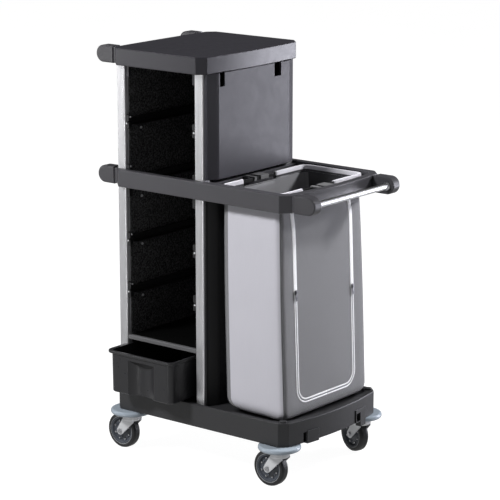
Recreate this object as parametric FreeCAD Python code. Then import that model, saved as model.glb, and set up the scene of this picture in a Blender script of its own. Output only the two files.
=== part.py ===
import FreeCAD, Part
import math
import os

# Housekeeping cart: shelf tower and laundry bag on one wheeled base. Millimetres.
# +X runs along the cart to the push bar, -Y is the open side of the tower, +Z is up.
# Shapes are drawn about the middle of the base, with the axles at AXLE_Z. On export they are
# moved by SHIFT, so the origin is the bottom centre of the whole cart's envelope.

V = FreeCAD.Vector
Z_AXIS = V(0, 0, 1)
Y_AXIS = V(0, 1, 0)

# ---- driving dimensions -------------------------------------------------
HALF_WIDTH = 280.0          # half depth of base, belt and deck
SHIFT = V(-6.15, 25.0, 3.5)

BASE_X = 394.0              # half length of the base at its corners
BASE_BOW = 28.0             # how far each end of the base bows out at its middle
BASE_CHAMFER = 27.0
BASE_BOTTOM = 157.0
BASE_TOP = 241.0
RECESS_FLOOR = 229.0        # floor of the shallow tray inside the base's rim
RIM_TOWER = 10.0            # width of the rim in front of and behind the tower
WALL = 4.0

END_PADS = [                # raised pads on the push end: y0, y1, z0, z1
    (-170.0, -112.0, 152.0, 197.0), (108.0, 178.0, 157.0, 204.0), (141.0, 178.0, 137.0, 158.0),
]
END_SLOTS = [(-186.0, -171.0, 194.0), (112.0, 140.0, 191.0)]    # y0, y1, top

POST_W = 38.0
POST_D = 40.0
POST_LEFT = -384.0          # outer face of the left pair
POST_RIGHT = -23.0          # inner face of the right pair
POST_FRONT = -256.0
POST_TOP = 1478.0
BAY_LEFT = POST_LEFT + POST_W
BAY_RIGHT = POST_RIGHT
BAY_MIDDLE = (BAY_LEFT + BAY_RIGHT) / 2

BELT_Z0 = 986.2
BELT_Z1 = 1049.3
BELT_MID = (BELT_Z0 + BELT_Z1) / 2
BELT_X0 = -395.5
BELT_X1 = 401.0
BELT_CHAMFER = 33.3
BELT_BOW = 18.0
BELT_THICK = 24.0

DECK_Z0 = 1424.7
DECK_Z1 = 1486.5
DECK_MID = (DECK_Z0 + DECK_Z1) / 2
DECK_X0 = -393.0
DECK_X1 = 31.0
DECK_CHAMFER = 28.6
DECK_BOW = 12.0

ARM_INNER = 208.0           # arms stand between these two distances from the centre plane
ARM_OUTER = 251.0
ARM_TIP_RIGHT = 498.0
ARM_TIP_LEFT = -485.7
TUBE_R = 11.5
TUBE_SETBACK = 26.0         # tube axis behind the arm tip
TUBE_SOCKET = 20.0

RUNNER_LEVELS = [603.0, 792.0, 1006.0, 1221.0]
RUNNER_HALF = 14.0
BRACKET_HALF = [28.0, 24.0, 60.0, 24.0]
SHELF_TOP = 433.5
SHELF_TRIM_H = 15.0

BAG_TOP = 1045.0
HEM_BOTTOM = 1023.0
HEM_GAP = (-122.0, 60.0)    # the hem is left open here on both long sides
CLIPS = [(-56.0, 6.0), (-4.0, 22.0)]    # middle and half width of each clip along Y
CLIP_LEDGE = 1040.0         # height of what the clips stand on
BAG_BOTTOM = 230.0
BAG_WALL = 3.0
BAG_SLOPE = 0.0382          # the end panel leans in by this much per mm of height
ZIP_Y = 165.0

BIN_FLOOR = 246.6
BIN_RIM = 402.0
BIN_X0 = -338.5             # sides of the bin at its floor
BIN_X1 = -51.5
BIN_Y0 = -361.0
BIN_Y1 = 39.0
BIN_WALL = 3.0

CASTER_X = 345.0
CASTER_Y = 242.0
WHEEL_R = 66.0
AXLE_Z = 62.5
WHEEL_W = 36.0
TRAIL = 37.0
AXLE_R = 5.0
RUN_FIT = 0.05              # radial clearance of every running fit
BUMPER_R = 76.0
BUMPER_Z0 = 136.0
BUMPER_Z1 = 154.5
NECK_R = 12.0
FORK_IN = 20.5              # fork leg inner face from the wheel's middle
LEG_T = 3.5
CASTERS = {
    "front_right": (CASTER_X, -CASTER_Y, 0.0),
    "back_right": (CASTER_X, CASTER_Y, -18.0),
    "front_left": (-CASTER_X, -CASTER_Y, 0.0),
    "back_left": (-CASTER_X, CASTER_Y, 0.0),
}

parts = {}


# ---- helpers ------------------------------------------------------------
def box(x0, x1, y0, y1, z0, z1):
    return Part.makeBox(x1 - x0, y1 - y0, z1 - z0, V(x0, y0, z0))


def cyl(r, x, y, z, h, axis=Z_AXIS):
    return Part.makeCylinder(r, h, V(x, y, z), axis)


def line(a, b):
    return Part.LineSegment(a, b).toShape()


def arc(a, m, b):
    return Part.Arc(a, m, b).toShape()


def prism(points, direction):
    """Extrude a closed polygon of vectors."""
    wire = Part.makePolygon(points + [points[0]])
    return Part.Face(wire).extrude(direction)


def join(shapes):
    first = shapes[0]
    if len(shapes) == 1:
        return first
    return first.fuse(shapes[1:]).removeSplitter()


def rounded_rect(x0, x1, y0, y1, r, z):
    """Closed wire of a rectangle with rounded corners at height z."""
    k = r * (1 - math.sqrt(0.5))
    corners = [
        (V(x1 - r, y0, z), V(x1 - k, y0 + k, z), V(x1, y0 + r, z)),
        (V(x1, y1 - r, z), V(x1 - k, y1 - k, z), V(x1 - r, y1, z)),
        (V(x0 + r, y1, z), V(x0 + k, y1 - k, z), V(x0, y1 - r, z)),
        (V(x0, y0 + r, z), V(x0 + k, y0 + k, z), V(x0 + r, y0, z)),
    ]
    edges = []
    for i, (a, m, b) in enumerate(corners):
        edges.append(Part.Arc(a, m, b).toShape())
        nxt = corners[(i + 1) % 4][0]
        edges.append(Part.LineSegment(b, nxt).toShape())
    return Part.Wire(edges)


def slab(wire, height):
    return Part.Face(wire).extrude(V(0, 0, height))


def bowed_outline(x0, x1, half, cham, bow0, bow1, z):
    """Rectangle with cut corners whose two ends bow outwards."""
    y = half - cham
    right = (V(x1, -y, z), V(x1 + bow1, 0, z), V(x1, y, z))
    left = (V(x0, y, z), V(x0 - bow0, 0, z), V(x0, -y, z))
    start = V(x0 + cham, -half, z)
    edges = [line(start, V(x1 - cham, -half, z))]
    edges.append(line(V(x1 - cham, -half, z), right[0]))
    edges.append(arc(*right) if bow1 else line(right[0], right[2]))
    edges.append(line(right[2], V(x1 - cham, half, z)))
    edges.append(line(V(x1 - cham, half, z), V(x0 + cham, half, z)))
    edges.append(line(V(x0 + cham, half, z), left[0]))
    edges.append(arc(*left) if bow0 else line(left[0], left[2]))
    edges.append(line(left[2], start))
    return Part.Wire(edges)


def soften(solid, radius, test):
    """Round every edge that passes the test; leave the solid alone if that fails."""
    edges = [e for e in solid.Edges if test(e)]
    if not edges:
        return solid
    try:
        out = solid.makeFillet(radius, edges)
    except Exception:
        return solid
    return out if out.isValid() and len(out.Solids) == 1 else solid


def upright(e):
    return e.BoundBox.ZLength > 5 and e.BoundBox.XLength < 0.01 and e.BoundBox.YLength < 0.01


def at_height(z):
    return lambda e: abs(e.BoundBox.ZMin - z) < 0.01 and abs(e.BoundBox.ZMax - z) < 0.01


def mirror_y(shape):
    return shape.mirror(V(0, 0, 0), Y_AXIS)


def mirror_bay(shape):
    """Mirror across the middle of the shelf bay."""
    return shape.mirror(V(BAY_MIDDLE, 0, 0), V(1, 0, 0))


# ---- base ---------------------------------------------------------------
def make_base():
    height = BASE_TOP - BASE_BOTTOM
    wire = bowed_outline(-BASE_X, BASE_X, HALF_WIDTH, BASE_CHAMFER, BASE_BOW, BASE_BOW, BASE_BOTTOM)
    body = slab(wire, height)
    body = soften(body, 5.0, upright)
    body = soften(body, 4.0, at_height(BASE_TOP))
    inner = bowed_outline(-BASE_X + WALL, BASE_X - WALL, HALF_WIDTH - WALL,
                          BASE_CHAMFER - 1.5, BASE_BOW, BASE_BOW, BASE_BOTTOM - 1)
    hollow = slab(inner, RECESS_FLOOR - WALL - BASE_BOTTOM + 1)
    body = body.cut(hollow)
    # shallow tray: narrow rim round the tower, broad rim at the two corners beside the bag
    y = HALF_WIDTH - RIM_TOWER
    tower = slab(rounded_rect(POST_LEFT - 2, 130, -y, y, 12, RECESS_FLOOR), 40)
    tray = slab(rounded_rect(34, 382, -262, 262, 70, RECESS_FLOOR), 40)
    bulge = slab(bowed_outline(300, 381, 200, 40, 0, 24, RECESS_FLOOR), 40)
    body = body.cut(tray.fuse(bulge)).cut(tower)
    extras = []
    # two rails that the bin slides on
    for x in (BIN_X0 + 50, BIN_X1 - 50):
        extras.append(box(x - 8, x + 8, -y - 1, 248, RECESS_FLOOR - 1, BASE_TOP))
    for x, y, _ in CASTERS.values():
        extras.append(cyl(36, x, y, BUMPER_Z1, RECESS_FLOOR - WALL - BUMPER_Z1 + 1))
    # caps in the two corners beside the bag
    for side in (-1, 1):
        cap = cyl(13, 369, 253 * side, BASE_TOP - 2, 8)
        extras.append(soften(cap, 2.0, at_height(BASE_TOP + 6)))
    body = body.fuse(extras)
    # end face: raised pads, and two upright slots that are closed behind
    outline = (-BASE_X, BASE_X, HALF_WIDTH, BASE_CHAMFER, 0, BASE_BOW, BASE_BOTTOM - 40)
    wall = slab(bowed_outline(*outline), height + 40)
    proud = slab(bowed_outline(-BASE_X, BASE_X + 4, *outline[2:]), height + 40)
    for y0, y1, z0, z1 in END_PADS:
        body = body.fuse(box(395, 440, y0, y1, z0, z1).common(proud))
    for y0, y1, top in END_SLOTS:
        cup = box(384, 440, y0 - 3, y1 + 3, BASE_BOTTOM, top + 3).common(wall)
        body = body.fuse(cup).cut(box(387, 440, y0, y1, BASE_BOTTOM + 2.5, top))
    parts["base_tray"] = body.removeSplitter()


# ---- posts --------------------------------------------------------------
def make_posts():
    outer = rounded_rect(0, POST_W, 0, POST_D, 5, RECESS_FLOOR)
    inner = rounded_rect(3.2, POST_W - 3.2, 3.2, POST_D - 3.2, 2.5, RECESS_FLOOR)
    length = POST_TOP - RECESS_FLOOR
    post = slab(outer, length).cut(slab(inner, length))
    grooves = []
    for i in range(5):
        c = 7.0 + i * 6.0
        grooves.append(box(c - 0.9, c + 0.9, -1, 0.9, 0, 2000))
        grooves.append(box(c - 0.9, c + 0.9, POST_D - 0.9, POST_D + 1, 0, 2000))
    for i in range(3):
        c = 8.0 + i * 8.0
        grooves.append(box(-1, 0.9, c - 0.9, c + 0.9, 0, 2000))
        grooves.append(box(POST_W - 0.9, POST_W + 1, c - 0.9, c + 0.9, 0, 2000))
    post = post.cut(grooves)
    for x, side in ((POST_LEFT, "left"), (POST_RIGHT, "right")):
        front = post.copy()
        front.translate(V(x, POST_FRONT, 0))
        parts["post_front_" + side] = front
        back = mirror_y(front)
        parts["post_back_" + side] = back


def post_blocks(top):
    """Square blocks that fill the posts' places, for cutting room for them."""
    blocks = []
    for x in (POST_LEFT, POST_RIGHT):
        blocks.append(box(x, x + POST_W, POST_FRONT, POST_FRONT + POST_D, 0, top))
    return blocks + [mirror_y(b) for b in blocks]


# ---- belt and deck ------------------------------------------------------
def belt_outer():
    wire = bowed_outline(BELT_X0, BELT_X1, HALF_WIDTH, BELT_CHAMFER, 6, BELT_BOW, BELT_Z0)
    return slab(wire, BELT_Z1 - BELT_Z0)


def make_belt():
    t = BELT_THICK
    outer = belt_outer()
    outer = soften(outer, 5.0, upright)
    outer = soften(outer, 4.0, lambda e: at_height(BELT_Z0)(e) or at_height(BELT_Z1)(e))
    wire = bowed_outline(BELT_X0 + t, BELT_X1 - t, HALF_WIDTH - t, BELT_CHAMFER - 8,
                         6, BELT_BOW, BELT_Z0 - 1)
    ring = outer.cut(slab(wire, BELT_Z1 - BELT_Z0 + 2))
    extras = [box(16, 38, -257, 257, 992, 1040)]
    # inner lips beside the bag, and ledges that its clips stand on
    for side in (-1, 1):
        y0, y1 = sorted((side * 257, side * 246))
        extras.append(box(38, 377, y0, y1, 1015, BELT_Z1))
    for y, half in CLIPS:
        extras.append(box(374, 397, y - half - 2, y + half + 2, 1028, CLIP_LEDGE))
        extras.append(box(37, 58, y - half - 2, y + half + 2, 1028, CLIP_LEDGE))
    ring = ring.fuse(extras).cut(post_blocks(2000))
    parts["belt_ring"] = max(ring.Solids, key=lambda s: s.Volume)


def deck_outer():
    wire = bowed_outline(DECK_X0, DECK_X1, HALF_WIDTH, DECK_CHAMFER, 4, DECK_BOW, DECK_Z0)
    return slab(wire, DECK_Z1 - DECK_Z0)


def make_deck():
    outer = deck_outer()
    outer = soften(outer, 5.0, upright)
    outer = soften(outer, 4.0, lambda e: at_height(DECK_Z0)(e) or at_height(DECK_Z1)(e))
    wire = bowed_outline(DECK_X0 + 5, DECK_X1 - 5, HALF_WIDTH - 5, DECK_CHAMFER - 2,
                         4, DECK_BOW, DECK_Z0 - 1)
    deck = outer.cut(slab(wire, DECK_Z1 - DECK_Z0 - 6 + 1))
    extras = []
    # sockets that reach down the inner face of each post
    for side in (-1, 1):
        y0, y1 = sorted((side * 249, side * 237))
        left = box(BAY_LEFT, BAY_LEFT + 14, y0, y1, 1383, DECK_Z1 - 4)
        extras.append(left)
        extras.append(mirror_bay(left))
    deck = deck.fuse(extras).cut(post_blocks(POST_TOP + 0.2))
    deck = deck.removeSplitter()
    parts["top_deck"] = max(deck.Solids, key=lambda s: s.Volume)


# ---- arms and grip tubes ------------------------------------------------
def make_arm(tip, root, z0, z1, tube_x):
    """D-shaped arm on the front side; it reaches from root to tip along X."""
    mid = (z0 + z1) / 2
    r = (z1 - z0) / 2
    way = 1 if tip > root else -1
    centre = tip - way * r
    neck_end = root + way * 14
    a, b = sorted((neck_end, centre))
    depth = ARM_OUTER - ARM_INNER
    head = box(a, b, -ARM_OUTER, -ARM_INNER, z0, z1)
    head = head.fuse(cyl(r, centre, -ARM_OUTER, mid, depth, Y_AXIS)).removeSplitter()
    head = soften(head, 6.0, lambda e: e.BoundBox.YLength < 0.01 and e.BoundBox.XLength > 10)
    a, b = sorted((root - way * 30, neck_end + way * 5))
    neck = box(a, b, -ARM_OUTER + 4, -ARM_INNER - 4, z0 + 4, z1 - 4)
    arm = head.fuse(neck).removeSplitter()
    bore = cyl(TUBE_R + 0.1, tube_x, -ARM_INNER - TUBE_SOCKET, mid, TUBE_SOCKET + 1, Y_AXIS)
    return arm.cut(bore)


def make_tube(x, z):
    reach = ARM_INNER + TUBE_SOCKET - 0.5
    tube = cyl(TUBE_R, x, -reach, z, 2 * reach, Y_AXIS)
    for side in (-1, 1):
        y = ARM_INNER - 0.2 - 7 if side > 0 else -ARM_INNER + 0.2
        tube = tube.fuse(cyl(TUBE_R + 3.2, x, y, z, 7, Y_AXIS))
    tube = tube.removeSplitter()
    return tube.cut(cyl(TUBE_R - 1.8, x, -reach - 1, z, 2 * reach + 2, Y_AXIS))


def make_arms():
    sets = [
        ("arm_deck_left", ARM_TIP_LEFT, DECK_X0, DECK_Z0, DECK_Z1, deck_outer(), "tube_deck_left"),
        ("arm_belt_left", ARM_TIP_LEFT, BELT_X0, BELT_Z0, BELT_Z1, belt_outer(), "tube_belt_left"),
        ("arm_belt_right", ARM_TIP_RIGHT, BELT_X1, BELT_Z0, BELT_Z1, belt_outer(), "push_tube"),
    ]
    for name, tip, root, z0, z1, against, tube_name in sets:
        way = 1 if tip > root else -1
        tube_x = tip - way * TUBE_SETBACK
        arm = make_arm(tip, root, z0, z1, tube_x).cut(against)
        arm = max(arm.Solids, key=lambda s: s.Volume)
        parts[name + "_front"] = arm
        parts[name + "_back"] = mirror_y(arm)
        parts[tube_name] = make_tube(tube_x, (z0 + z1) / 2)


# ---- tower panels, liners, shelf and runners ----------------------------
def bulged_panel(z0, z1):
    """Moulded end panel: a thin skin that stands out from the right pair of posts."""
    face = POST_RIGHT + POST_W
    skin = 4.0
    outer = [(0.3, -250), (5, -248), (7, -240), (24, -208), (27, -200)]
    shell = [(0.3, -246.5), (3, -244), (20.5, -208), (23, -200)]
    outer_back = [(27, 198), (24, 206), (7, 243), (5, 248), (0.3, 250)]
    shell_back = [(23, 198), (20.5, 206), (3, 244), (0.3, 246.5)]
    pts = [V(face + x, y, z0) for x, y in outer]
    back = [V(face + x, y, z0) for x, y in outer_back]
    arc_top = Part.Arc(pts[-1], V(face + 28.5, 0, z0), back[0]).toShape()
    inner = [V(face + x, y, z0) for x, y in shell]
    inner_back = [V(face + x, y, z0) for x, y in shell_back]
    arc_in = Part.Arc(inner_back[0], V(face + 28.5 - skin, 0, z0), inner[-1]).toShape()
    edges = [Part.makePolygon(pts), Part.Wire(arc_top), Part.makePolygon(back)]
    edges.append(Part.makePolygon([back[-1], inner_back[-1]]))
    edges.append(Part.makePolygon(list(reversed(inner_back))))
    edges.append(Part.Wire(arc_in))
    edges.append(Part.makePolygon(list(reversed(inner))))
    edges.append(Part.makePolygon([inner[0], pts[0]]))
    flat = []
    for w in edges:
        flat += w.Edges
    wire = Part.Wire(Part.__sortEdges__(flat))
    return Part.Face(wire).extrude(V(0, 0, z1 - z0))


def make_panels():
    upper = bulged_panel(BELT_Z1 + 2.5, DECK_Z0)
    face = POST_RIGHT + POST_W
    for y0, y1 in ((-195, -168), (111, 150)):
        upper = upper.cut(box(face + 5, face + 60, y0, y1, 1377, DECK_Z0 + 5))
    parts["panel_right_upper"] = upper
    parts["panel_right_lower"] = bulged_panel(RECESS_FLOOR + 1, BELT_Z0 - 0.5)
    for name, z0, z1 in (("upper", BELT_Z1 + 0.5, DECK_Z0 - 0.2), ("lower", BASE_TOP + 1, BELT_Z0 - 0.5)):
        plate = box(POST_LEFT - 6, POST_LEFT - 0.3, -244, 244, z0, z1)
        plate = soften(plate, 4.0, lambda e: upright(e) and e.BoundBox.XMin < POST_LEFT - 5)
        parts["panel_left_" + name] = plate
    liner = box(BAY_LEFT + 0.3, BAY_LEFT + 4.3, -236, 236, RECESS_FLOOR + 0.5, DECK_Z0 - 0.3)
    parts["liner_left"] = liner
    parts["liner_right"] = mirror_bay(liner)
    parts["back_panel"] = box(BAY_LEFT + 0.3, BAY_RIGHT - 0.3, 249.5, 253.5, RECESS_FLOOR + 0.5,
                              DECK_Z0 - 0.3)


def make_shelf():
    inset = 5.0
    plate = box(BAY_LEFT + inset, BAY_RIGHT - inset, -238, 249, SHELF_TOP - 4, SHELF_TOP)
    ribs = []
    for y in (-120, 0, 120):
        ribs.append(box(BAY_LEFT + inset, BAY_RIGHT - inset, y - 1.5, y + 1.5,
                        SHELF_TOP - 15, SHELF_TOP - 3))
    for x in (BAY_LEFT + inset, BAY_RIGHT - inset - 4):
        ribs.append(box(x, x + 4, -238, 249, SHELF_TOP - 15, SHELF_TOP - 3))
    parts["bottom_shelf"] = join([plate] + ribs)
    trim = box(BAY_LEFT + 0.4, BAY_RIGHT - 0.4, -253, -238.2, SHELF_TOP - SHELF_TRIM_H, SHELF_TOP)
    trim = soften(trim, 2.0, lambda e: e.BoundBox.XLength > 100 and e.BoundBox.YMin < -252)
    parts["shelf_trim"] = trim


def make_runners():
    screws = []
    x0 = BAY_LEFT + 4.4
    for i, z in enumerate(RUNNER_LEVELS):
        web = box(x0, x0 + 3, -236, 249, z - RUNNER_HALF, z + RUNNER_HALF)
        ledge = box(x0, x0 + 20, -236, 249, z - RUNNER_HALF, z - RUNNER_HALF + 3)
        guide = box(x0, x0 + 10, -236, 249, z + RUNNER_HALF - 3, z + RUNNER_HALF)
        half = BRACKET_HALF[i]
        bracket = box(BAY_LEFT + 0.3, BAY_LEFT + 14, -252, -235, z - half, z + half)
        bracket = soften(bracket, 3.0, lambda e: e.BoundBox.YLength > 10 and e.BoundBox.XMin > BAY_LEFT + 10)
        slit = box(BAY_LEFT + 9, BAY_LEFT + 20, -260, -230, z - 3, z + 3)
        runner = join([web, ledge, guide, bracket.cut(slit)])
        runner = runner.cut(box(BAY_LEFT - 1, x0 - 0.01, -236.2, -230, 0, 2000))
        tag = str(i + 1)
        parts["runner_left_" + tag] = runner
        parts["runner_right_" + tag] = mirror_bay(runner)
        for y in (-176, 176):
            head = cyl(5, BAY_LEFT + 4.3, y, z - half - 6, 3.5, V(1, 0, 0))
            head = soften(head, 2.0, lambda e: e.BoundBox.XMin > BAY_LEFT + 7)
            screws.append(head)
            screws.append(mirror_bay(head))
        # a screw through the bracket into the post, and a stop on its front
        pin = cyl(3.6, BAY_LEFT + 14, -243.5, z + half - 7, 1.7, V(1, 0, 0))
        stop = cyl(3.2, BAY_LEFT + 5, -254.5, z - half / 4, 2.5, Y_AXIS)
        for head in (pin, stop):
            screws.append(head)
            screws.append(mirror_bay(head))
    parts["runner_screws"] = Part.makeCompound(screws)


# ---- laundry bag --------------------------------------------------------
def bag_x1(z):
    """Outer face of the end panel; the panel leans in towards the top."""
    return 342.0 + BAG_SLOPE * (960.0 - z)


def bag_x0(z):
    return 84.0 + 0.028 * (1025.0 - z)


def bag_half(z):
    t = max(0.0, min(1.0, (1025.0 - z) / 520.0))
    return 236.5 + 10.5 * math.sin(t * math.pi / 2)


def bag_section(z, inset, shrink=0.0):
    r = max(8.0, 26.0 - inset + shrink * 0.6)
    a = bag_x0(z) + inset + shrink
    b = bag_x1(z) - inset - shrink
    h = bag_half(z) - inset - shrink
    return rounded_rect(a, b, -h, h, r, z)


def bag_loft(inset, bottom, top):
    """Smooth body with a turned-under bottom edge."""
    wires = []
    turn = 38.0
    for i in range(5):
        ang = math.pi / 2 * i / 4
        z = bottom + turn * (1 - math.cos(ang))
        wires.append(bag_section(z, inset, turn * (1 - math.sin(ang)) * 0.85))
    foot = Part.makeLoft(wires, True, False)
    knee = bottom + turn
    side = []
    for z in (knee, 420.0, 640.0, 840.0, top):
        side.append(bag_section(z, inset))
    return foot.fuse(Part.makeLoft(side, True, False))


def make_bag():
    outer = bag_loft(0.0, BAG_BOTTOM, HEM_BOTTOM + 1)
    inner = bag_loft(BAG_WALL, BAG_BOTTOM + BAG_WALL, HEM_BOTTOM + 2)
    body = outer.cut(inner)
    # folded hem round a flat frame; the hem stops short at the middle of both long sides
    hem = slab(rounded_rect(78, 350, -243, 243, 32, HEM_BOTTOM), BAG_TOP - HEM_BOTTOM)
    hem = soften(hem, 4.0, lambda e: at_height(BAG_TOP)(e))
    hem = hem.cut(slab(rounded_rect(89, 339, -232, 232, 21, 1020), 40))
    frame = slab(rounded_rect(80.5, 347.5, -240.5, 240.5, 30, 1029.5), 11.5)
    frame = frame.cut(slab(rounded_rect(86.5, 341.5, -234.5, 234.5, 24, 1028), 14))
    gap = box(0, 500, HEM_GAP[0], HEM_GAP[1], 1017, 1060)
    body = body.cut(gap)
    hem = hem.cut(gap).cut(frame)
    bag = body.fuse(hem).removeSplitter()
    parts["laundry_bag"] = max(bag.Solids, key=lambda s: s.Volume)
    parts["bag_frame"] = frame
    hooks = []
    for y, half in CLIPS:
        y0, y1 = y - half, y + half
        plate = box(46, 90.5, y0, y1, 1041.2, 1044.5)
        lip = box(87, 90.5, y0, y1, 1030, 1044.5)
        foot = box(46, 55, y0, y1, CLIP_LEDGE + 0.2, 1044.5)
        hooks.append(join([plate, lip, foot]))
        plate = box(337.5, 390, y0, y1, 1041.2, 1044.5)
        lip = box(337.5, 341, y0, y1, 1030, 1044.5)
        foot = box(378, 390, y0, y1, CLIP_LEDGE + 0.2, 1044.5)
        hooks.append(join([plate, lip, foot]))
    parts["bag_hooks"] = Part.makeCompound(hooks)


def make_zip_slider(y, z):
    x = bag_x1(z) + 1.6
    body = box(x, x + 4.5, y - 5.5, y + 5.5, z - 8, z + 8)
    body = soften(body, 1.5, lambda e: e.BoundBox.XLength > 3)
    bail = box(x + 4.5, x + 6.5, y - 1.5, y + 1.5, z - 5, z + 5)
    pull = box(x + 3.2, x + 5.4, y - 3.5, y + 3.5, z - 30, z - 4)
    pull = pull.cut(box(x, x + 9, y - 1.5, y + 1.5, z - 26, z - 16))
    slider = join([body, bail, pull])
    slider.rotate(V(bag_x1(z), y, z), Y_AXIS, -math.degrees(math.atan(BAG_SLOPE)))
    return slider


# ---- bin ----------------------------------------------------------------
def bin_section(grow, z, t, left=0.0):
    """Outline of the bin; t is 0 at its floor and 1 under its rim."""
    return rounded_rect(BIN_X0 - t - grow - left, BIN_X1 + 2 * t + grow, BIN_Y0 - t - grow,
                        BIN_Y1 + 4 * t + grow, 22 + grow, z)


def make_bin():
    top = BIN_RIM - 6
    outer = Part.makeLoft([bin_section(0, BIN_FLOOR, 0), bin_section(0, top, 1)], True, True)
    outer = soften(outer, 6.0, at_height(BIN_FLOOR))
    inner = Part.makeLoft([bin_section(-BIN_WALL, BIN_FLOOR + BIN_WALL, 0),
                           bin_section(-BIN_WALL, BIN_RIM + 1, 1)], True, True)
    rim = slab(bin_section(6.0, BIN_RIM - 11, 1, 10.0), 11)
    rim = soften(rim, 4.0, lambda e: at_height(BIN_RIM)(e) or at_height(BIN_RIM - 11)(e))
    # the rim is broad only in front of the post, where it can't meet it
    rim = rim.cut(box(-400, BIN_X0 - 2, POST_FRONT - 5, 100, 0, 500))
    # upright hollow in the front wall, under a sloping roof
    half_chord, depth = 62.0, 25.0
    radius = (half_chord ** 2 + depth ** 2) / (2 * depth)
    mid = -192.0
    centre_y = BIN_Y0 + depth - radius
    roof_z = BIN_FLOOR + 130

    def scoop(r, drop):
        low, high = BIN_FLOOR - 10, roof_z + drop
        shaft = cyl(r, mid, centre_y, low, 200)
        side = [V(mid - 200, BIN_Y0 - 400, low), V(mid - 200, BIN_Y0 - 400, high),
                V(mid - 200, BIN_Y0, high), V(mid - 200, BIN_Y0 + 60, high - 60),
                V(mid - 200, BIN_Y0 + 60, low)]
        return shaft.common(prism(side, V(400, 0, 0)))

    body = outer.cut(scoop(radius, 0))
    cavity = inner.cut(scoop(radius + BIN_WALL, BIN_WALL * 1.4))
    skids = []
    for x in (BIN_X0 + 50, BIN_X1 - 50):
        skids.append(box(x - 5, x + 5, BIN_Y0 + 40, BIN_Y1 - 25, BASE_TOP + 0.3, BIN_FLOOR + 1))
    shell = body.fuse([rim] + skids).cut(cavity)
    shell = shell.removeSplitter()
    parts["bin"] = max(shell.Solids, key=lambda s: s.Volume)


# ---- casters ------------------------------------------------------------
def fork_leg(y0):
    """Side plate of the fork, drawn about the swivel axis with the wheel trailing to -X."""
    pts = [(-15, 126), (27, 126), (29, 106)]
    pts += [(-TRAIL + 10.6, AXLE_Z - 10.6), (-TRAIL - 12.6, AXLE_Z + 8.1)]
    plate = prism([V(x, y0, z) for x, z in pts], V(0, LEG_T, 0))
    end = cyl(15, -TRAIL, y0, AXLE_Z, LEG_T, Y_AXIS)
    return plate.fuse(end).removeSplitter()


def make_fork():
    legs = [fork_leg(FORK_IN), fork_leg(-FORK_IN - LEG_T)]
    half = FORK_IN + LEG_T
    # the wheel passes under the crown, so the crown keeps clear of the tyre
    crown = box(-15, 28, -half, half, 126, 130)
    front = box(24, 28, -half, half, 112, 130)
    # round head of the swivel, just under the bumper
    head = cyl(35, 0, 0, 108, 26)
    head = soften(head, 7.0, at_height(108)).common(box(-14, 60, -40, 40, 0, 400))
    race = cyl(26, 4, 0, 128, 5)
    race = race.common(box(-60, 60, -30, 30, 0, 400))
    neck = cyl(NECK_R, 0, 0, 128, 22)
    fork = join(legs + [crown, race, neck, front, head])
    fork = fork.cut(cyl(WHEEL_R + 1.5, -TRAIL, -FORK_IN, AXLE_Z, 2 * FORK_IN, Y_AXIS))
    return fork.cut(cyl(AXLE_R + 0.1, -TRAIL, -60, AXLE_Z, 120, Y_AXIS))


def make_wheel():
    half = WHEEL_W / 2
    half_prof = [(50.2, half - 1.5), (56, half), (61.5, half - 1.2), (64.6, half - 4.5),
                 (WHEEL_R, half - 10)]
    prof = [V(-TRAIL + r, -w, AXLE_Z) for r, w in half_prof]
    prof += [V(-TRAIL + r, w, AXLE_Z) for r, w in reversed(half_prof)]
    tyre = Part.Face(Part.makePolygon(prof + [prof[0]]))
    tyre = tyre.revolve(V(-TRAIL, 0, AXLE_Z), Y_AXIS, 360)
    boss = FORK_IN - 0.9
    steps = [(AXLE_R + RUN_FIT, boss), (14.5, boss), (16.5, 15.0), (24, 9.5)]
    steps += [(40, 7.5), (45.5, 15.6), (50, 15.6)]
    pts = [V(-TRAIL + r, -w, AXLE_Z) for r, w in steps]
    pts += [V(-TRAIL + r, w, AXLE_Z) for r, w in reversed(steps)]
    hub = Part.Face(Part.makePolygon(pts + [pts[0]]))
    hub = hub.revolve(V(-TRAIL, 0, AXLE_Z), Y_AXIS, 360)
    studs = []
    for i in range(6):
        ang = math.radians(60 * i + 20)
        x = -TRAIL + 31 * math.cos(ang)
        z = AXLE_Z + 31 * math.sin(ang)
        studs.append(cyl(3.2, x, -12, z, 24, Y_AXIS))
    hub = hub.fuse(studs)
    return tyre, hub.removeSplitter()


def make_axle():
    half = FORK_IN + LEG_T
    pin = cyl(AXLE_R, -TRAIL, -half - 0.1, AXLE_Z, 2 * half + 0.2, Y_AXIS)
    ends = []
    for y0 in (-half - 5.6, half + 0.1):
        pts = []
        for i in range(6):
            ang = math.radians(60 * i + 30)
            pts.append(V(-TRAIL + 8.6 * math.cos(ang), y0, AXLE_Z + 8.6 * math.sin(ang)))
        ends.append(prism(pts, V(0, 5.5, 0)))
    return join([pin] + ends)


def make_bumper():
    disc = cyl(BUMPER_R, 0, 0, BUMPER_Z0, BUMPER_Z1 - BUMPER_Z0)
    disc = soften(disc, 8.5, lambda e: e.BoundBox.XLength > 100 and e.BoundBox.ZLength < 0.01)
    disc = disc.cut(cyl(58, 0, 0, BUMPER_Z0 - 1, 4).cut(cyl(22, 0, 0, BUMPER_Z0 - 1, 4)))
    return disc.cut(cyl(NECK_R + RUN_FIT, 0, 0, 0, 400))


def make_casters():
    tyre, hub = make_wheel()
    pieces = {
        "bumper": make_bumper(),
        "fork": make_fork(),
        "tyre": tyre,
        "hub": hub,
        "axle": make_axle(),
    }
    for where, (x, y, turn) in CASTERS.items():
        for kind, shape in pieces.items():
            piece = shape.copy()
            if kind != "bumper":
                piece.rotate(V(0, 0, 0), Z_AXIS, turn)
            piece.translate(V(x, y, 0))
            parts["caster_" + where + "_" + kind] = piece


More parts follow.
